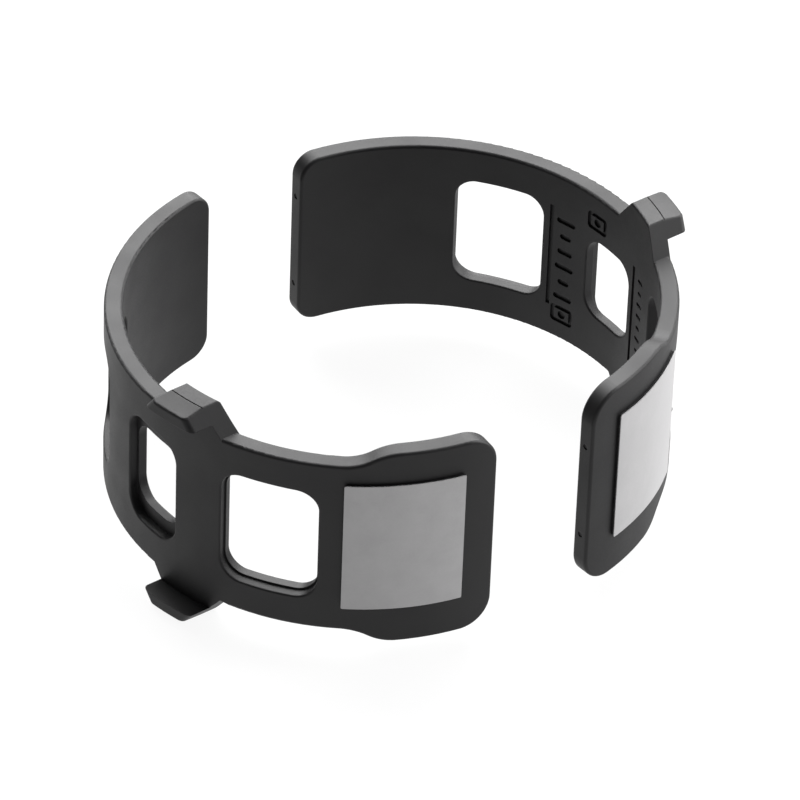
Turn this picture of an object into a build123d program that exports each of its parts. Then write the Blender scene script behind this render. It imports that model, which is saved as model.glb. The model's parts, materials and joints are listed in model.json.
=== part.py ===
from build123d import *
from math import asin, atan2, cos, degrees, hypot, radians, sin, tan
import os

# Two moulded half shells that line a strap clamp on a round post.
# Lengths are in millimetres and angles in degrees.
# Frame: +Z is the post's axis, the origin is on that axis at mid-height of shell A,
# and shell B closes on shell A along -X. The open fronts of the arms face -Y.
# One shell is drawn about +X and then turned into place: an angle on it is measured
# from its middle, positive towards the arm with the tape pad.

# Post, wall and strap
POST_R = 30.15
POST_CLEARANCE = 0.15
WALL = 2.5
STRAP_W = 29.6           # strap that runs between the two hooks
STRAP_CLEARANCE = 0.15   # at each edge of the strap
BAND_INSET = 1.5         # how far the band stands back from the strap's edge
END_GAP = 8.5            # angle left open between the two shells when closed
PLAIN_END_R = 3.0        # corner radius at the end of the plain arm
EDGE_R = 0.4             # rounding of the long edges

# Tall end of the pad arm
PADDLE_RISE = 2.05       # above the edge of the band
PADDLE_START = 50.3      # where the edge leaves the plain band
SHOULDER_L = 7.4         # length of the S-shaped rise
PADDLE_END_R = 4.3

# Windows: a span is an angle at the inner face, a rim is what is left above and below
SIDE_WINDOW_AT = 33.7
SIDE_WINDOW_SPAN = 23.6
SIDE_WINDOW_RIM = 5.1
MID_WINDOW_AT = 0.5      # the middle window is a little nearer the pad arm
MID_WINDOW_SPAN = 17.3
MID_POCKET_RIM = 5.4
MID_SILL = 1.75          # ledge behind the pocket, above and below the middle window
WINDOW_R = 2.8
WINDOW_EDGE_R = 0.25     # rounding of the windows' edges
SEAM_STEP = 0.12         # each window is this much larger, all round, outside its seam
WINDOW_DRAFT = 8.0       # and widens outwards from there at this angle
SEAM_DEPTH = 1.2         # depth of that seam below the outer face

# Strap hooks, one above and one below
LUG_AT = 12.25
LUG_TOP_W = 5.1
LUG_BASE_W = 10.6
LUG_H = 3.75             # height above the edge of the band
HOOK_REACH = 2.95
HOOK_DROP = 0.45         # fall of the sloping top, from wall to tip
LUG_ROOT = 1.5           # depth the lug is sunk into the band
LUG_EDGE_R = 0.35
HOOK_TIP_R = 0.8         # rounding of the two corners at the hook's tip
CREASE = 0.16            # depth and half width of the seam line across the lug's top

# Tape pad and its liner
PAD_WINDOW_MARGIN = 3.15 # from the side window's edge to the pad
PAD_END_MARGIN = 4.7     # from the pad to the end of the arm
PAD_RIM = 3.4            # from the pad to the edge of the band
PAD_RISE_A = 0.6         # each pad was stuck on by hand, a little above the middle
PAD_RISE_B = 0.8
TAPE_T = 0.3
LINER_T = 0.12
LINER_GAP = 0.06         # between the liner and the tape it covers
LINER_OVERHANG = 0.1

# Marks on the inner face
MARK_DEPTH = 0.3
BAR_LENGTHS = (3.0, 1.8, 2.4, 3.0, 1.8, 3.0)
BAR_W = 0.8
SHORT_BAR_LENGTHS = (1.5, 1.1, 1.5, 1.5, 1.1, 1.5, 1.1, 1.5)
SHORT_BAR_W = 0.55
BAR_MARGIN = 5.8         # from the columns of bars to the edge of the band
FRAME_AT = -4.8
FRAME_INSET = 4.15       # from a frame's middle to the edge of the band
FRAME_W = 3.6
FRAME_H = 2.8
FRAME_LINE = 0.6
WITNESS_W = 0.6
WITNESS_OFFSET = 1.3     # from a window's edge to the line beside it
VESTIGE_R = 0.4          # small round moulding marks on the end faces
VESTIGE_DEPTH = 0.12
VESTIGE_AT = 7.2         # above and below mid-height

# Shell B as stored, moved away from its closed place
SPREAD_X = 8.9
SPREAD_Y = -1.7

TOLERANCE = 0.02         # for finding edges on a face

R_IN = POST_R + POST_CLEARANCE
R_OUT = R_IN + WALL
R_SEAM = R_OUT - SEAM_DEPTH
R_HOOK = R_OUT + HOOK_REACH
RADIAL_MARGIN = 2 * WALL
END_ANGLE = 90 - END_GAP / 2
BAND_H = STRAP_W - 2 * BAND_INSET
BAND_TOP = BAND_H / 2
PADDLE_TOP = BAND_TOP + PADDLE_RISE
PADDLE_H = 2 * PADDLE_TOP
LUG_TOP = BAND_TOP + LUG_H
HOOK_UNDER = STRAP_W / 2 + STRAP_CLEARANCE
SIDE_WINDOW_W = 2 * R_IN * sin(radians(SIDE_WINDOW_SPAN / 2))
SIDE_WINDOW_H = BAND_H - 2 * SIDE_WINDOW_RIM
MID_WINDOW_W = 2 * R_IN * sin(radians(MID_WINDOW_SPAN / 2))
MID_POCKET_H = BAND_H - 2 * MID_POCKET_RIM
MID_WINDOW_H = MID_POCKET_H - 2 * MID_SILL
WINDOW_FLARE = SEAM_STEP + WALL * tan(radians(WINDOW_DRAFT))


def arc_angle(length, radius):
    """Angle that an arc of this length spans."""
    return degrees(length / radius)


def arc_length(angle, radius):
    """Length of an arc that spans this angle."""
    return radians(angle) * radius


WINDOW_END = SIDE_WINDOW_AT + degrees(asin((SIDE_WINDOW_W / 2 + WINDOW_FLARE) / R_OUT))
PAD_W = arc_length(END_ANGLE - WINDOW_END, R_OUT) - PAD_WINDOW_MARGIN - PAD_END_MARGIN
PAD_AT = WINDOW_END + arc_angle(PAD_WINDOW_MARGIN + PAD_W / 2, R_OUT)
PAD_H = BAND_H - 2 * PAD_RIM


def radial_plane(angle, radius=0.0):
    """Plane facing outwards at an angle: its x runs along the arc, its y runs up."""
    outward = Vector(cos(radians(angle)), sin(radians(angle)), 0)
    along = Vector(-sin(radians(angle)), cos(radians(angle)), 0)
    return Plane(origin=outward * radius, x_dir=along, z_dir=outward)


def ring(points, start, end):
    """Ring sector with the given (radius, height) section."""
    section = Plane.XZ * make_face(Polyline(*points, close=True))
    return Rot(0, 0, start) * revolve(section, Axis.Z, end - start)


def wall(height, start, end):
    """Stretch of the plain wall, centred on mid-height."""
    top = height / 2
    return ring([(R_IN, -top), (R_OUT, -top), (R_OUT, top), (R_IN, top)], start, end)


def through_wall(sketch, angle):
    """Prism of a sketch through the wall, straight out at an angle."""
    plane = radial_plane(angle, R_IN - RADIAL_MARGIN)
    return extrude(plane * sketch, WALL + 2 * RADIAL_MARGIN)


def flared(sketch, angle):
    """Prism of a sketch from the inner face outwards, wider the further out it is."""
    plane = radial_plane(angle, R_IN)
    return extrude(plane * sketch, WALL + RADIAL_MARGIN, taper=-WINDOW_DRAFT)


def mirrored_pair(shape):
    """A shape and its mirror image about mid-height."""
    return [shape, mirror(shape, Plane.XY)]


def lies_on(edge, radius):
    """Whether an edge lies on the cylinder of this radius round the axis."""
    points = [edge @ share for share in (0, 0.25, 0.5, 0.75, 1)]
    return all(abs(hypot(point.X, point.Y) - radius) < TOLERANCE for point in points)


def face_edges(body):
    """Edges that lie on the inner or the outer face of the wall."""
    return [edge for edge in body.edges() if lies_on(edge, R_IN) or lies_on(edge, R_OUT)]


def corner_cut(angle, side, top, radius):
    """What a rounded corner takes off at an arm's end; side is +1 or -1."""
    square = Pos(-side * radius / 2, top - radius / 2) * Rectangle(radius, radius)
    disc = Pos(-side * radius, top - radius) * Circle(radius)
    spare = Pos(side * radius / 2, top - radius / 2) * Rectangle(radius, 3 * radius)
    cap = Pos(-side * radius / 2, top + radius / 2) * Rectangle(radius, radius)
    return through_wall(square - disc + spare + cap, angle)


def shoulder_cut():
    """What the S-shaped rise takes off above the plain band."""
    half = SHOULDER_L / 2
    middle = (0, BAND_TOP + PADDLE_RISE / 2)
    low = TangentArc((-half, BAND_TOP), middle, tangent=(1, 0))
    high = TangentArc((half, PADDLE_TOP), middle, tangent=(-1, 0))
    above = PADDLE_TOP + PADDLE_RISE
    rest = Polyline((half, PADDLE_TOP), (half, above), (-3 * half, above),
                    (-3 * half, BAND_TOP), (-half, BAND_TOP))
    angle = PADDLE_START + arc_angle(half, R_OUT)
    return through_wall(make_face(low + high + rest), angle)


def plain_cut():
    """What is taken off above the plain band, up to where the rise begins."""
    inner = R_IN - RADIAL_MARGIN
    outer = R_OUT + RADIAL_MARGIN
    top = 2 * PADDLE_TOP
    section = [(inner, BAND_TOP), (outer, BAND_TOP), (outer, top), (inner, top)]
    return ring(section, -2 * END_ANGLE, PADDLE_START - arc_angle(SHOULDER_L / 2, R_OUT))


def band():
    """Curved wall with its tall pad arm, rounded corners and rounded long edges."""
    body = wall(PADDLE_H, -END_ANGLE, END_ANGLE)
    cuts = mirrored_pair(plain_cut()) + mirrored_pair(shoulder_cut())
    cuts += mirrored_pair(corner_cut(END_ANGLE, 1, PADDLE_TOP, PADDLE_END_R))
    cuts += mirrored_pair(corner_cut(-END_ANGLE, -1, BAND_TOP, PLAIN_END_R))
    for cut in cuts:
        body -= cut
    body = body.clean()
    return fillet(face_edges(body), EDGE_R)


def window(angle, width, inner_height, outer_height):
    """Opening through the wall, with the mould's seam part way through it."""
    inner = through_wall(RectangleRounded(width, inner_height, WINDOW_R), angle)
    wide = width + 2 * SEAM_STEP
    outer = flared(RectangleRounded(wide, outer_height, WINDOW_R), angle)
    core = Cylinder(R_SEAM, 2 * PADDLE_H)
    return [inner & core, outer - core]


def cut_windows(body):
    """The band with its three windows, their edges rounded on both faces."""
    side_outer = SIDE_WINDOW_H + 2 * SEAM_STEP
    cuts = window(MID_WINDOW_AT, MID_WINDOW_W, MID_WINDOW_H, MID_POCKET_H)
    for angle in (-SIDE_WINDOW_AT, SIDE_WINDOW_AT):
        cuts += window(angle, SIDE_WINDOW_W, SIDE_WINDOW_H, side_outer)
    for cut in cuts:
        body -= cut
    reach = max(WINDOW_END, SIDE_WINDOW_AT + SIDE_WINDOW_SPAN / 2) + TOLERANCE
    top = SIDE_WINDOW_H / 2 + WINDOW_FLARE + TOLERANCE
    rims = [edge for edge in face_edges(body) if within(edge, reach, top)]
    return fillet(rims, WINDOW_EDGE_R)


def within(edge, reach, top):
    """Whether an edge stays this near to the shell's middle, in angle and in height."""
    points = [edge @ share for share in (0, 0.5, 1)]
    return all(abs(degrees(atan2(point.Y, point.X))) < reach and abs(point.Z) < top
               for point in points)


def lug():
    """Hook that stands on the band's edge and holds one edge of the strap."""
    root = BAND_TOP - LUG_ROOT
    section = [(R_IN, root), (R_OUT, root), (R_OUT, HOOK_UNDER), (R_HOOK, HOOK_UNDER),
               (R_HOOK, LUG_TOP - HOOK_DROP), (R_OUT, LUG_TOP), (R_IN, LUG_TOP)]
    hook = ring(section, -END_ANGLE, END_ANGLE)
    centre = R_OUT * sin(radians(LUG_AT))
    top = LUG_TOP_W / 2
    base = LUG_BASE_W / 2
    low = base + (base - top) / LUG_H * LUG_ROOT
    outline = Polyline((centre - low, root), (centre + low, root), (centre + top, LUG_TOP),
                       (centre - top, LUG_TOP), close=True)
    body = hook & extrude(Plane.YZ * make_face(outline), 2 * R_HOOK)
    rise = (LUG_TOP - HOOK_DROP - HOOK_UNDER) / 2
    tips = [edge for edge in body.edges()
            if lies_on(edge, R_HOOK) and abs((edge @ 0).Z - (edge @ 1).Z) > rise]
    body = fillet(tips, HOOK_TIP_R)
    free = [edge for edge in body.edges() if (edge @ 0.5).Z > HOOK_UNDER + TOLERANCE]
    return fillet(free, LUG_EDGE_R) - crease()


def crease():
    """Groove across the lugs' tops, over the wall's outer face."""
    groove = [(R_OUT - CREASE, LUG_TOP + CREASE), (R_OUT, LUG_TOP - CREASE),
              (R_OUT + CREASE, LUG_TOP + CREASE)]
    return ring(groove, -END_ANGLE, END_ANGLE)


def engraving(sketch, angle):
    """A mark sunk into the inner face."""
    return through_wall(sketch, angle) & Cylinder(R_IN + MARK_DEPTH, 2 * PADDLE_H)


def bar_column(angle, lengths, width):
    """Plain bars one above the other on the inner face."""
    pitch = (BAND_H - 2 * BAR_MARGIN) / len(lengths)
    first = -pitch * (len(lengths) - 1) / 2
    return [engraving(Pos(0, first + index * pitch) * SlotOverall(length, width), angle)
            for index, length in enumerate(lengths)]


def marks():
    """Two columns of plain bars, two frames and two witness lines on the inner face."""
    plain_edge = SIDE_WINDOW_SPAN / 2 - SIDE_WINDOW_AT
    mid_low = MID_WINDOW_AT - MID_WINDOW_SPAN / 2
    mid_high = MID_WINDOW_AT + MID_WINDOW_SPAN / 2
    column = (plain_edge + mid_low) / 2
    cuts = bar_column(column, BAR_LENGTHS, BAR_W)
    cuts += bar_column((mid_high - plain_edge) / 2, SHORT_BAR_LENGTHS, SHORT_BAR_W)
    hole = Rectangle(FRAME_W - 2 * FRAME_LINE, FRAME_H - 2 * FRAME_LINE)
    frame = RectangleRounded(FRAME_W, FRAME_H, FRAME_LINE) - hole + Circle(FRAME_LINE)
    level = BAND_TOP - FRAME_INSET
    cuts.append(engraving(Pos(0, level) * frame, column))
    cuts.append(engraving(Pos(0, -level) * frame, FRAME_AT))
    for edge, height in ((mid_high, MID_POCKET_H), (plain_edge, SIDE_WINDOW_H)):
        line = Rectangle(WITNESS_W, height)
        cuts.append(engraving(line, edge + arc_angle(WITNESS_OFFSET, R_IN)))
    return cuts


def vestiges():
    """Small round moulding marks on the end faces."""
    cuts = []
    for side in (1, -1):
        angle = side * END_ANGLE
        outward = (cos(radians(angle)), sin(radians(angle)), 0)
        along = (side * sin(radians(angle)), -side * cos(radians(angle)), 0)
        face = Plane(origin=(0, 0, 0), x_dir=outward, z_dir=along)
        for level in (VESTIGE_AT, -VESTIGE_AT):
            spot = face * Pos(R_OUT - WALL / 2, level) * Circle(VESTIGE_R)
            cuts.append(extrude(spot, VESTIGE_DEPTH, both=True))
    return cuts


def shell():
    """One half shell, drawn about +X."""
    body = cut_windows(band())
    for hook in mirrored_pair(lug()):
        body += hook
    for cut in marks() + vestiges():
        body -= cut
    return body.clean()


def layer(inner, thickness, overhang, rise):
    """A layer of the tape pad, bent to the shell's outer face."""
    half = arc_angle(PAD_W / 2 + overhang, R_OUT)
    top = PAD_H / 2 + overhang
    outer = inner + thickness
    section = [(inner, rise - top), (outer, rise - top), (outer, rise + top), (inner, rise + top)]
    return ring(section, PAD_AT - half, PAD_AT + half)


def pieces(rise):
    """The pieces of one half, with its pad this far above the middle, drawn about +X."""
    return {
        "half_shell": shell(),
        "foam_tape": layer(R_OUT, TAPE_T, 0.0, rise),
        "release_liner": layer(R_OUT + TAPE_T + LINER_GAP, LINER_T, LINER_OVERHANG, rise),
    }


def place_a(shape):
    """From the drawing place to shell A's place, on the -X side."""
    return Rot(0, 0, 180) * shape


def place_b(shape):
    """Shell B is shell A turned upside down and moved away."""
    return Pos(SPREAD_X, SPREAD_Y, 0) * Rot(0, 180, 0) * place_a(shape)


def main():
    os.makedirs("parts", exist_ok=True)
    for name, shape in pieces(PAD_RISE_A).items():
        export_step(place_a(shape), f"parts/{name}_a.step")
    for name, shape in pieces(-PAD_RISE_B).items():
        export_step(place_b(shape), f"parts/{name}_b.step")
    travel = hypot(SPREAD_X, SPREAD_Y)
    heading = degrees(atan2(-SPREAD_Y, -SPREAD_X))
    print(f"pad {PAD_W:.3f} x {PAD_H:.3f} at {PAD_AT:.3f}; closing {travel:.4f} towards {heading:.3f}")


main()
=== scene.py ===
import json
import math

import bmesh
import bpy
from mathutils import Matrix, Vector, noise


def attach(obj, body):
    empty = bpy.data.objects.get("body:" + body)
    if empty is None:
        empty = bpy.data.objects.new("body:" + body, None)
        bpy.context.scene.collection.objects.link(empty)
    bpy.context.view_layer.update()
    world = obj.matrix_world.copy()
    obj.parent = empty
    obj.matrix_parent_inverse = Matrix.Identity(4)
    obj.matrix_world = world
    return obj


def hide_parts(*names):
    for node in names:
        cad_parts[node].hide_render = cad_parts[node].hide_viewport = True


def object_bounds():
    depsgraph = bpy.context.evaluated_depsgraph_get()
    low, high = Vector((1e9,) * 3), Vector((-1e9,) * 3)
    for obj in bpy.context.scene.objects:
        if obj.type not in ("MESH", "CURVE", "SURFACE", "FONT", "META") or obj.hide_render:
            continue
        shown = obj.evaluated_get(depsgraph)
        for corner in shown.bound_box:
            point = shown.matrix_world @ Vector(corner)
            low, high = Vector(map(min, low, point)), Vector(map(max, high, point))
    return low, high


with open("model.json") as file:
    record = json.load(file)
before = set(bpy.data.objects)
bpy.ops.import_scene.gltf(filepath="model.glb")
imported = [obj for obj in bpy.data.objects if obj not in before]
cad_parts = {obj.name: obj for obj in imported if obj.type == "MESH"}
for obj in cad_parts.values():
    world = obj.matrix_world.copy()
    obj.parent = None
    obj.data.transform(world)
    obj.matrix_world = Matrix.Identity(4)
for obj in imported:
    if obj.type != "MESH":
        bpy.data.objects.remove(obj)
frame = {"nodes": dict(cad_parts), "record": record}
cad_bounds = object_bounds()
mounts = {mount["name"]: mount for mount in frame["record"]["mounts"]}

MM = 0.001
WHITE = (1.0, 1.0, 1.0)

# Studio. Lengths are in metres, lamp powers in watts.
FLOOR_SIZE = 6.0
FLOOR_ALBEDO = 0.08          # low, because the floor's own glow makes it pale
FLOOR_GLOW = 0.92
WORLD_STRENGTH = 0.15

# Camera: angles in degrees, distances in metres, lens in millimetres.
# The aim is measured from the middle of the object's box.
CAMERA_AZIMUTH = -37.57
CAMERA_ELEVATION = 38.89
CAMERA_ROLL = 2.2
CAMERA_DISTANCE = 0.905
CAMERA_LENS = 315.0
CAMERA_REACH = 20.0          # far enough to see the whole floor
AIM_RIGHT = 1.47 * MM
AIM_UP = -2.84 * MM

# Shell plastic
EDGE_ROUND = 0.12 * MM       # rounding that the shading gives to sharp edges
GRAIN_SIZE = 0.16 * MM
GRAIN_DEPTH = 0.006 * MM
SCUFF_SIZE = 1.3 * MM
PATCH_SIZE = 7.0 * MM        # areas that are slightly lighter or duller
WAVE_SIZE = 5.0 * MM
WAVE_DEPTH = 0.02 * MM
CAVITY_REACH = 0.5 * MM      # marks and corners this narrow are duller and get painted shade (a darker colour)

# Tape pads
FOAM_CELL = 0.22 * MM        # size of the foam's cells
FOAM_DEPTH = 0.05 * MM       # how far the cells are sunk into the cut edges
FOAM_STEP = 0.16 * MM        # spacing of the foam mesh at its edges
FOAM_MOTTLE_SIZE = 0.8 * MM
FOAM_LAYERS = (0.0, 0.25, 0.5, 0.75, 1.0)
LINER_CORNER = 0.2 * MM
LINER_STEP = 0.3 * MM
LINER_WAVE = 0.03 * MM       # how far the film dips between high spots
LINER_WAVE_SIZE = 6.0 * MM
LINER_SMOOTH_ANGLE = 40.0    # degrees: sharper edges than this stay sharp
LINER_LAYERS = (0.0, 0.5, 1.0)
CLOUD_SIZE = 3.5 * MM        # mottling of the film
CLOUD_DEPTH = 0.03 * MM
FIBRE_SIZE = 0.25 * MM
FIBRE_DEPTH = 0.004 * MM
CORNER_TURNS = 6             # segments in a rounded corner

# Sizes of the rings that fill a slab's face, as shares of its outline
FACE_RINGS = (0.985, 0.96, 0.92, 0.86, 0.78, 0.68, 0.56, 0.43, 0.30, 0.17)


# ---------------------------------------------------------------- materials

class Shader:
    """A small helper that adds nodes to a material and links them."""

    def __init__(self, name):
        self.material = bpy.data.materials.new(name)
        self.material.use_nodes = True
        self.tree = self.material.node_tree
        self.bsdf = self.tree.nodes["Principled BSDF"]
        coordinates = self.tree.nodes.new("ShaderNodeTexCoord")
        self.position = coordinates.outputs["Object"]

    def add(self, kind, inputs=None, **settings):
        node = self.tree.nodes.new("ShaderNode" + kind)
        for key, value in settings.items():
            setattr(node, key, value)
        for key, value in (inputs or {}).items():
            if isinstance(value, bpy.types.NodeSocket):
                self.tree.links.new(value, node.inputs[key])
            else:
                node.inputs[key].default_value = value
        return node

    def noise(self, size, detail=2.0, roughness=0.5):
        """Noise whose features are about this size, in metres."""
        inputs = {
            "Vector": self.position,
            "Scale": 1 / size,
            "Detail": detail,
            "Roughness": roughness,
        }
        return self.add("TexNoise", inputs).outputs["Fac"]

    def spread(self, value, low, high, from_low=0.3, from_high=0.7):
        """A value taken from one range to another."""
        inputs = {
            "Value": value,
            "From Min": from_low,
            "From Max": from_high,
            "To Min": low,
            "To Max": high,
        }
        return self.add("MapRange", inputs).outputs["Result"]

    def mix(self, factor, first, second):
        """The first colour where the factor is 0, the second where it is 1."""
        node = self.add("Mix", data_type="RGBA")
        for key, value in ((0, factor), (6, first), (7, second)):
            if isinstance(value, bpy.types.NodeSocket):
                self.tree.links.new(value, node.inputs[key])
            else:
                node.inputs[key].default_value = value if key == 0 else (*value, 1.0)
        return node.outputs[2]

    def maths(self, operation, first, second=0.0):
        return self.add("Math", {0: first, 1: second}, operation=operation).outputs[0]

    def bump(self, height, distance, normal=None):
        inputs = {"Height": height, "Distance": distance, "Strength": 1.0}
        if normal is not None:
            inputs["Normal"] = normal
        return self.add("Bump", inputs).outputs["Normal"]

    def set(self, **values):
        """Set sockets of the principled shader, by name with _ for a space."""
        for key, value in values.items():
            socket = self.bsdf.inputs[key.replace("_", " ")]
            if isinstance(value, bpy.types.NodeSocket):
                self.tree.links.new(value, socket)
            else:
                socket.default_value = value


def shell_material():
    """Satin black moulded plastic: fine spark-eroded grain, faint sink waves, rubbed edges, and
    painted shade that darkens narrow marks and corners.
    """
    dark_black = (0.0036, 0.0034, 0.0038)
    light_black = (0.0060, 0.0056, 0.0063)
    speckle_grey = (0.014, 0.0132, 0.0145)
    rubbed_grey = (0.040, 0.038, 0.040)
    # painted shade for narrow marks and corners
    painted_shade_black = (0.0015, 0.0015, 0.0016)

    s = Shader("shell_plastic")
    rounded = s.add("Bevel", {"Radius": EDGE_ROUND}, samples=6).outputs["Normal"]
    true_normal = s.add("NewGeometry").outputs["Normal"]
    product = s.add("VectorMath", {0: rounded, 1: true_normal}, operation="DOT_PRODUCT")
    edge = s.spread(product.outputs["Value"], 1.0, 0.0, 0.80, 0.995)
    patches = s.noise(PATCH_SIZE, detail=4.0)
    grain = s.noise(GRAIN_SIZE, detail=3.0, roughness=0.6)
    # Painted shade: ambient occlusion gives a mask for marks and corners; it darkens the colour and
    # also raises the roughness there.
    open_air = s.add("AmbientOcclusion", {"Distance": CAVITY_REACH}, samples=8).outputs["AO"]
    shade_and_dulling_mask = s.spread(open_air, 1.0, 0.0, 0.35, 0.75)
    scuffs = s.noise(SCUFF_SIZE, detail=5.0, roughness=0.65)
    rubbed = s.maths("MULTIPLY", edge, s.spread(scuffs, 0.25, 1.0, 0.35, 0.65))

    plain = s.mix(s.spread(patches, 0.0, 1.0), dark_black, light_black)
    speckled = s.mix(s.spread(grain, 0.0, 0.35, 0.5, 0.75), plain, speckle_grey)
    worn = s.mix(s.maths("MULTIPLY", rubbed, 0.6), speckled, rubbed_grey)
    # Painted shade: near-black colour where the occlusion mask finds a mark or corner.
    colour = s.mix(shade_and_dulling_mask, worn, painted_shade_black)

    dulled = s.maths("MULTIPLY", shade_and_dulling_mask, 0.30)
    base_roughness = s.maths("ADD", s.spread(patches, 0.49, 0.58), dulled)
    roughness = s.maths("ADD", base_roughness, s.spread(grain, -0.05, 0.05))
    waves = s.bump(s.noise(WAVE_SIZE, detail=1.0), WAVE_DEPTH, rounded)
    normal = s.bump(grain, GRAIN_DEPTH, waves)
    s.set(Base_Color=colour, Roughness=roughness, Normal=normal, Specular_IOR_Level=0.31)
    return s.material


def foam_material():
    """Black closed-cell foam: open cells on the cut edges, painted shade in the middle of each
    cell, no shine.
    """
    cell_pit_shade_black = (0.006, 0.006, 0.006)
    wall_grey = (0.022, 0.022, 0.023)

    s = Shader("tape_foam")
    voronoi = s.add("TexVoronoi", {"Vector": s.position, "Scale": 1 / FOAM_CELL})
    cells = voronoi.outputs["Distance"]
    # Painted shade: the colour is darker at the middle of each cell, where the bump sinks the
    # surface.
    colour = s.mix(s.spread(cells, 0.0, 1.0, 0.1, 0.7), cell_pit_shade_black, wall_grey)
    roughness = s.spread(s.noise(FOAM_MOTTLE_SIZE), 0.82, 0.95)
    normal = s.bump(cells, FOAM_DEPTH)
    s.set(Base_Color=colour, Roughness=roughness, Normal=normal, Specular_IOR_Level=0.3)
    return s.material


def liner_material():
    """Silver-grey siliconed film: faint mottling, a fine calendered grain and a soft gloss."""
    deep_grey = (0.330, 0.326, 0.330)
    pale_grey = (0.370, 0.365, 0.370)
    fibre_grey = (0.415, 0.411, 0.415)

    s = Shader("liner_film")
    cloud = s.noise(CLOUD_SIZE, detail=5.0, roughness=0.6)
    fibre = s.noise(FIBRE_SIZE, detail=3.0, roughness=0.7)
    plain = s.mix(s.spread(cloud, 0.0, 1.0), deep_grey, pale_grey)
    colour = s.mix(s.spread(fibre, 0.0, 0.25, 0.45, 0.75), plain, fibre_grey)
    roughness = s.spread(cloud, 0.36, 0.46)
    normal = s.bump(fibre, FIBRE_DEPTH, s.bump(cloud, CLOUD_DEPTH))
    s.set(Base_Color=colour, Roughness=roughness, Normal=normal, Specular_IOR_Level=0.5)
    return s.material


def floor_material():
    """A pale sheet that glows evenly, like a light table, so that shadows stay faint."""
    s = Shader("studio_floor")
    s.set(
        Base_Color=(FLOOR_ALBEDO, FLOOR_ALBEDO, FLOOR_ALBEDO, 1.0),
        Roughness=0.9,
        Specular_IOR_Level=0.0,
        Emission_Color=(*WHITE, 1.0),
        Emission_Strength=FLOOR_GLOW,
    )
    return s.material


def paint(piece, material):
    """Give a piece one material, in every slot that it has or in a new one."""
    if not piece.material_slots:
        piece.data.materials.append(material)
    for slot in piece.material_slots:
        slot.material = material


# ---------------------------------------------------------------- tape pads

class Pad:
    """Where a tape pad lies on its shell: a patch of a cylinder round the post's axis.

    low and high hold the smallest and largest angle, height and radius of a node's points.
    """

    def __init__(self, side, node):
        face = mounts["tape_face_" + side]
        self.axis = Vector(mounts["post_seat_" + side]["pos_m"])
        self.middle = math.atan2(face["axis"][1], face["axis"][0])
        vertices = frame["nodes"][node].data.vertices
        places = [self.unwrap(vertex.co) for vertex in vertices]
        self.low = Vector(map(min, *places))
        self.high = Vector(map(max, *places))

    def unwrap(self, point):
        """Angle from the pad's middle, height and radius of a point."""
        offset = point - self.axis
        angle = math.atan2(offset.y, offset.x) - self.middle
        angle = (angle + math.pi) % (2 * math.pi) - math.pi
        return Vector((angle, offset.z, math.hypot(offset.x, offset.y)))

    def wrap(self, along, height, radius):
        """The point at a length along the arc, a height and a radius."""
        angle = self.middle + along / self.high.z
        return self.axis + Vector((radius * math.cos(angle), radius * math.sin(angle), height))


def even_steps(low, high, step):
    """Evenly spaced values from low to high, no further apart than the step."""
    count = max(1, math.ceil((high - low) / step))
    return [low + (high - low) * index / count for index in range(count + 1)]


def rounded_rectangle(half_width, half_height, corner, step):
    """Outline of a rectangle with rounded corners, as points in order."""
    points = []
    for index, (side_x, side_y) in enumerate(((1, 1), (-1, 1), (-1, -1), (1, -1))):
        centre_x = side_x * (half_width - corner)
        centre_y = side_y * (half_height - corner)
        for turn in range(CORNER_TURNS + 1):
            angle = math.radians(90) * (index + turn / CORNER_TURNS)
            x = centre_x + corner * math.cos(angle)
            y = centre_y + corner * math.sin(angle)
            points.append((x, y))
    outline = []
    for start, end in zip(points, points[1:] + points[:1]):
        gap = math.dist(start, end)
        for share in even_steps(0.0, 1.0, min(1.0, step / gap))[:-1]:
            x = start[0] + (end[0] - start[0]) * share
            y = start[1] + (end[1] - start[1]) * share
            outline.append((x, y))
    return outline


def slab(name, pad, corner, step, shape, layers):
    """A closed curved slab on a pad's place.

    Rings of its outline go through its thickness, one at each layer from 0 (inside) to 1 (outside).
    shape(along, height, radius, at_edge) gives where each point of the plain slab ends up.
    """
    half_angle = (pad.high.x - pad.low.x) / 2
    half_width = half_angle * pad.high.z
    half_height = (pad.high.y - pad.low.y) / 2
    centre = (pad.high.y + pad.low.y) / 2
    outline = rounded_rectangle(half_width, half_height, corner, step)
    mesh = bmesh.new()

    def vertex(along, height, radius, at_edge):
        place = shape(along, height, radius, at_edge)
        return mesh.verts.new(pad.wrap(place[0], centre + place[1], place[2]))

    rings = []
    for depth in layers:
        radius = pad.low.z + (pad.high.z - pad.low.z) * depth
        rings.append([vertex(along, height, radius, True) for along, height in outline])
    for below, above in zip(rings, rings[1:]):
        for index in range(len(outline)):
            after = (index + 1) % len(outline)
            mesh.faces.new((below[index], below[after], above[after], above[index]))
    fill_face(mesh, vertex, rings[0], outline, pad.low.z)
    fill_face(mesh, vertex, rings[-1], outline, pad.high.z)
    bmesh.ops.recalc_face_normals(mesh, faces=mesh.faces)
    data = bpy.data.meshes.new(name)
    mesh.to_mesh(data)
    mesh.free()
    piece = bpy.data.objects.new(name, data)
    bpy.context.scene.collection.objects.link(piece)
    return piece


def fill_face(mesh, vertex, ring, outline, radius):
    """Rings of faces that shrink inwards from the outline to a fan at the middle."""
    outer = ring
    for share in FACE_RINGS:
        inner = [vertex(along * share, height * share, radius, False) for along, height in outline]
        for index in range(len(outline)):
            after = (index + 1) % len(outline)
            mesh.faces.new((outer[index], outer[after], inner[after], inner[index]))
        outer = inner
    middle = vertex(0.0, 0.0, radius, False)
    for index in range(len(outline)):
        after = (index + 1) % len(outline)
        mesh.faces.new((outer[index], outer[after], middle))


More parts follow.
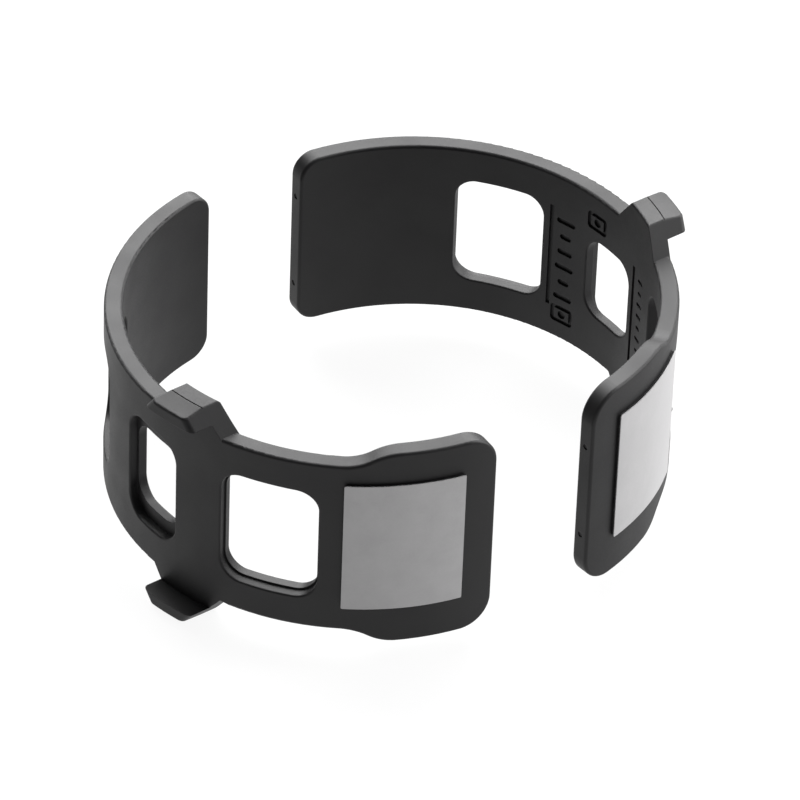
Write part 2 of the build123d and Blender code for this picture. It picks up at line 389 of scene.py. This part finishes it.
def foam_tape(side, material):
    """The double-sided foam: its cut edges show open cells."""
    node = "foam_tape_" + side
    pad = Pad(side, node)

    def shape(along, height, radius, at_edge):
        if not at_edge:
            return along, height, radius
        spot = Vector((along, height, radius)) / FOAM_CELL
        depth = FOAM_DEPTH * (0.5 + 0.5 * noise.noise(spot))
        outwards = Vector((along, height)).normalized()
        return along - outwards.x * depth, height - outwards.y * depth, radius

    piece = slab("tape_foam_" + side, pad, FOAM_STEP, FOAM_STEP, shape, FOAM_LAYERS)
    paint(piece, material)
    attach(piece, "shell_" + side)
    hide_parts(node)


def release_liner(side, material):
    """The film over the tape: thin, with rounded corners, and not quite flat."""
    node = "release_liner_" + side
    pad = Pad(side, node)

    def shape(along, height, radius, at_edge):
        spot = Vector((along, height, 0.0)) / LINER_WAVE_SIZE
        dip = LINER_WAVE * (0.5 + 0.5 * noise.noise(spot))
        return along, height, radius - dip

    piece = slab("liner_film_" + side, pad, LINER_CORNER, LINER_STEP, shape, LINER_LAYERS)
    for polygon in piece.data.polygons:
        polygon.use_smooth = True
    piece.data.set_sharp_from_angle(angle=math.radians(LINER_SMOOTH_ANGLE))
    paint(piece, material)
    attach(piece, "liner_" + side)
    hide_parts(node)


# ---------------------------------------------------------------- studio

def floor():
    """A pale floor under the lowest point of the object."""
    bpy.ops.mesh.primitive_plane_add(size=FLOOR_SIZE, location=(0, 0, cad_bounds[0].z))
    plane = bpy.context.active_object
    plane.name = "studio_floor"
    paint(plane, floor_material())


def softbox(name, target, direction, distance, size, power):
    """A square area light that faces the target from a direction."""
    data = bpy.data.lights.new(name, "AREA")
    data.shape = "SQUARE"
    data.size = size
    data.energy = power
    data.color = WHITE
    light = bpy.data.objects.new(name, data)
    back = Vector(direction).normalized()
    light.location = target + back * distance
    light.rotation_mode = "QUATERNION"
    light.rotation_quaternion = (-back).to_track_quat("-Z", "Y")
    bpy.context.scene.collection.objects.link(light)


def studio_light(target):
    """A dim even world, a large softbox over the back and a smaller one at the right."""
    world = bpy.data.worlds.new("studio")
    bpy.context.scene.world = world
    world.use_nodes = True
    background = world.node_tree.nodes["Background"]
    background.inputs["Color"].default_value = (*WHITE, 1.0)
    background.inputs["Strength"].default_value = WORLD_STRENGTH
    softbox("back_top_softbox", target, direction=(0.42, 0.68, 0.70),
            distance=1.2, size=1.4, power=54.0)
    softbox("right_key_softbox", target, direction=(0.95, -0.35, 0.50),
            distance=1.0, size=1.0, power=20.0)


def camera(target):
    """A long lens from the front left, looking down at the target."""
    azimuth = math.radians(CAMERA_AZIMUTH)
    elevation = math.radians(CAMERA_ELEVATION)
    level = math.cos(elevation)
    back = Vector((math.sin(azimuth) * level, -math.cos(azimuth) * level, math.sin(elevation)))
    turn = (-back).to_track_quat("-Z", "Y").to_matrix()
    aim = target + turn @ Vector((AIM_RIGHT, AIM_UP, 0.0))
    rolled = turn @ Matrix.Rotation(math.radians(CAMERA_ROLL), 3, "Z")
    data = bpy.data.cameras.new("camera")
    data.lens = CAMERA_LENS
    data.clip_end = CAMERA_REACH
    eye = bpy.data.objects.new("camera", data)
    eye.location = aim + back * CAMERA_DISTANCE
    eye.rotation_mode = "QUATERNION"
    eye.rotation_quaternion = rolled.to_quaternion()
    bpy.context.scene.collection.objects.link(eye)
    bpy.context.scene.camera = eye


middle = (cad_bounds[0] + cad_bounds[1]) / 2
camera(middle)
studio_light(middle)
floor()
bpy.context.scene.view_settings.view_transform = "Standard"

shell_plastic = shell_material()
tape_foam = foam_material()
liner_film = liner_material()
for side in ("a", "b"):
    shell = frame["nodes"]["half_shell_" + side]
    paint(shell, shell_plastic)
    foam_tape(side, tape_foam)
    release_liner(side, liner_film)
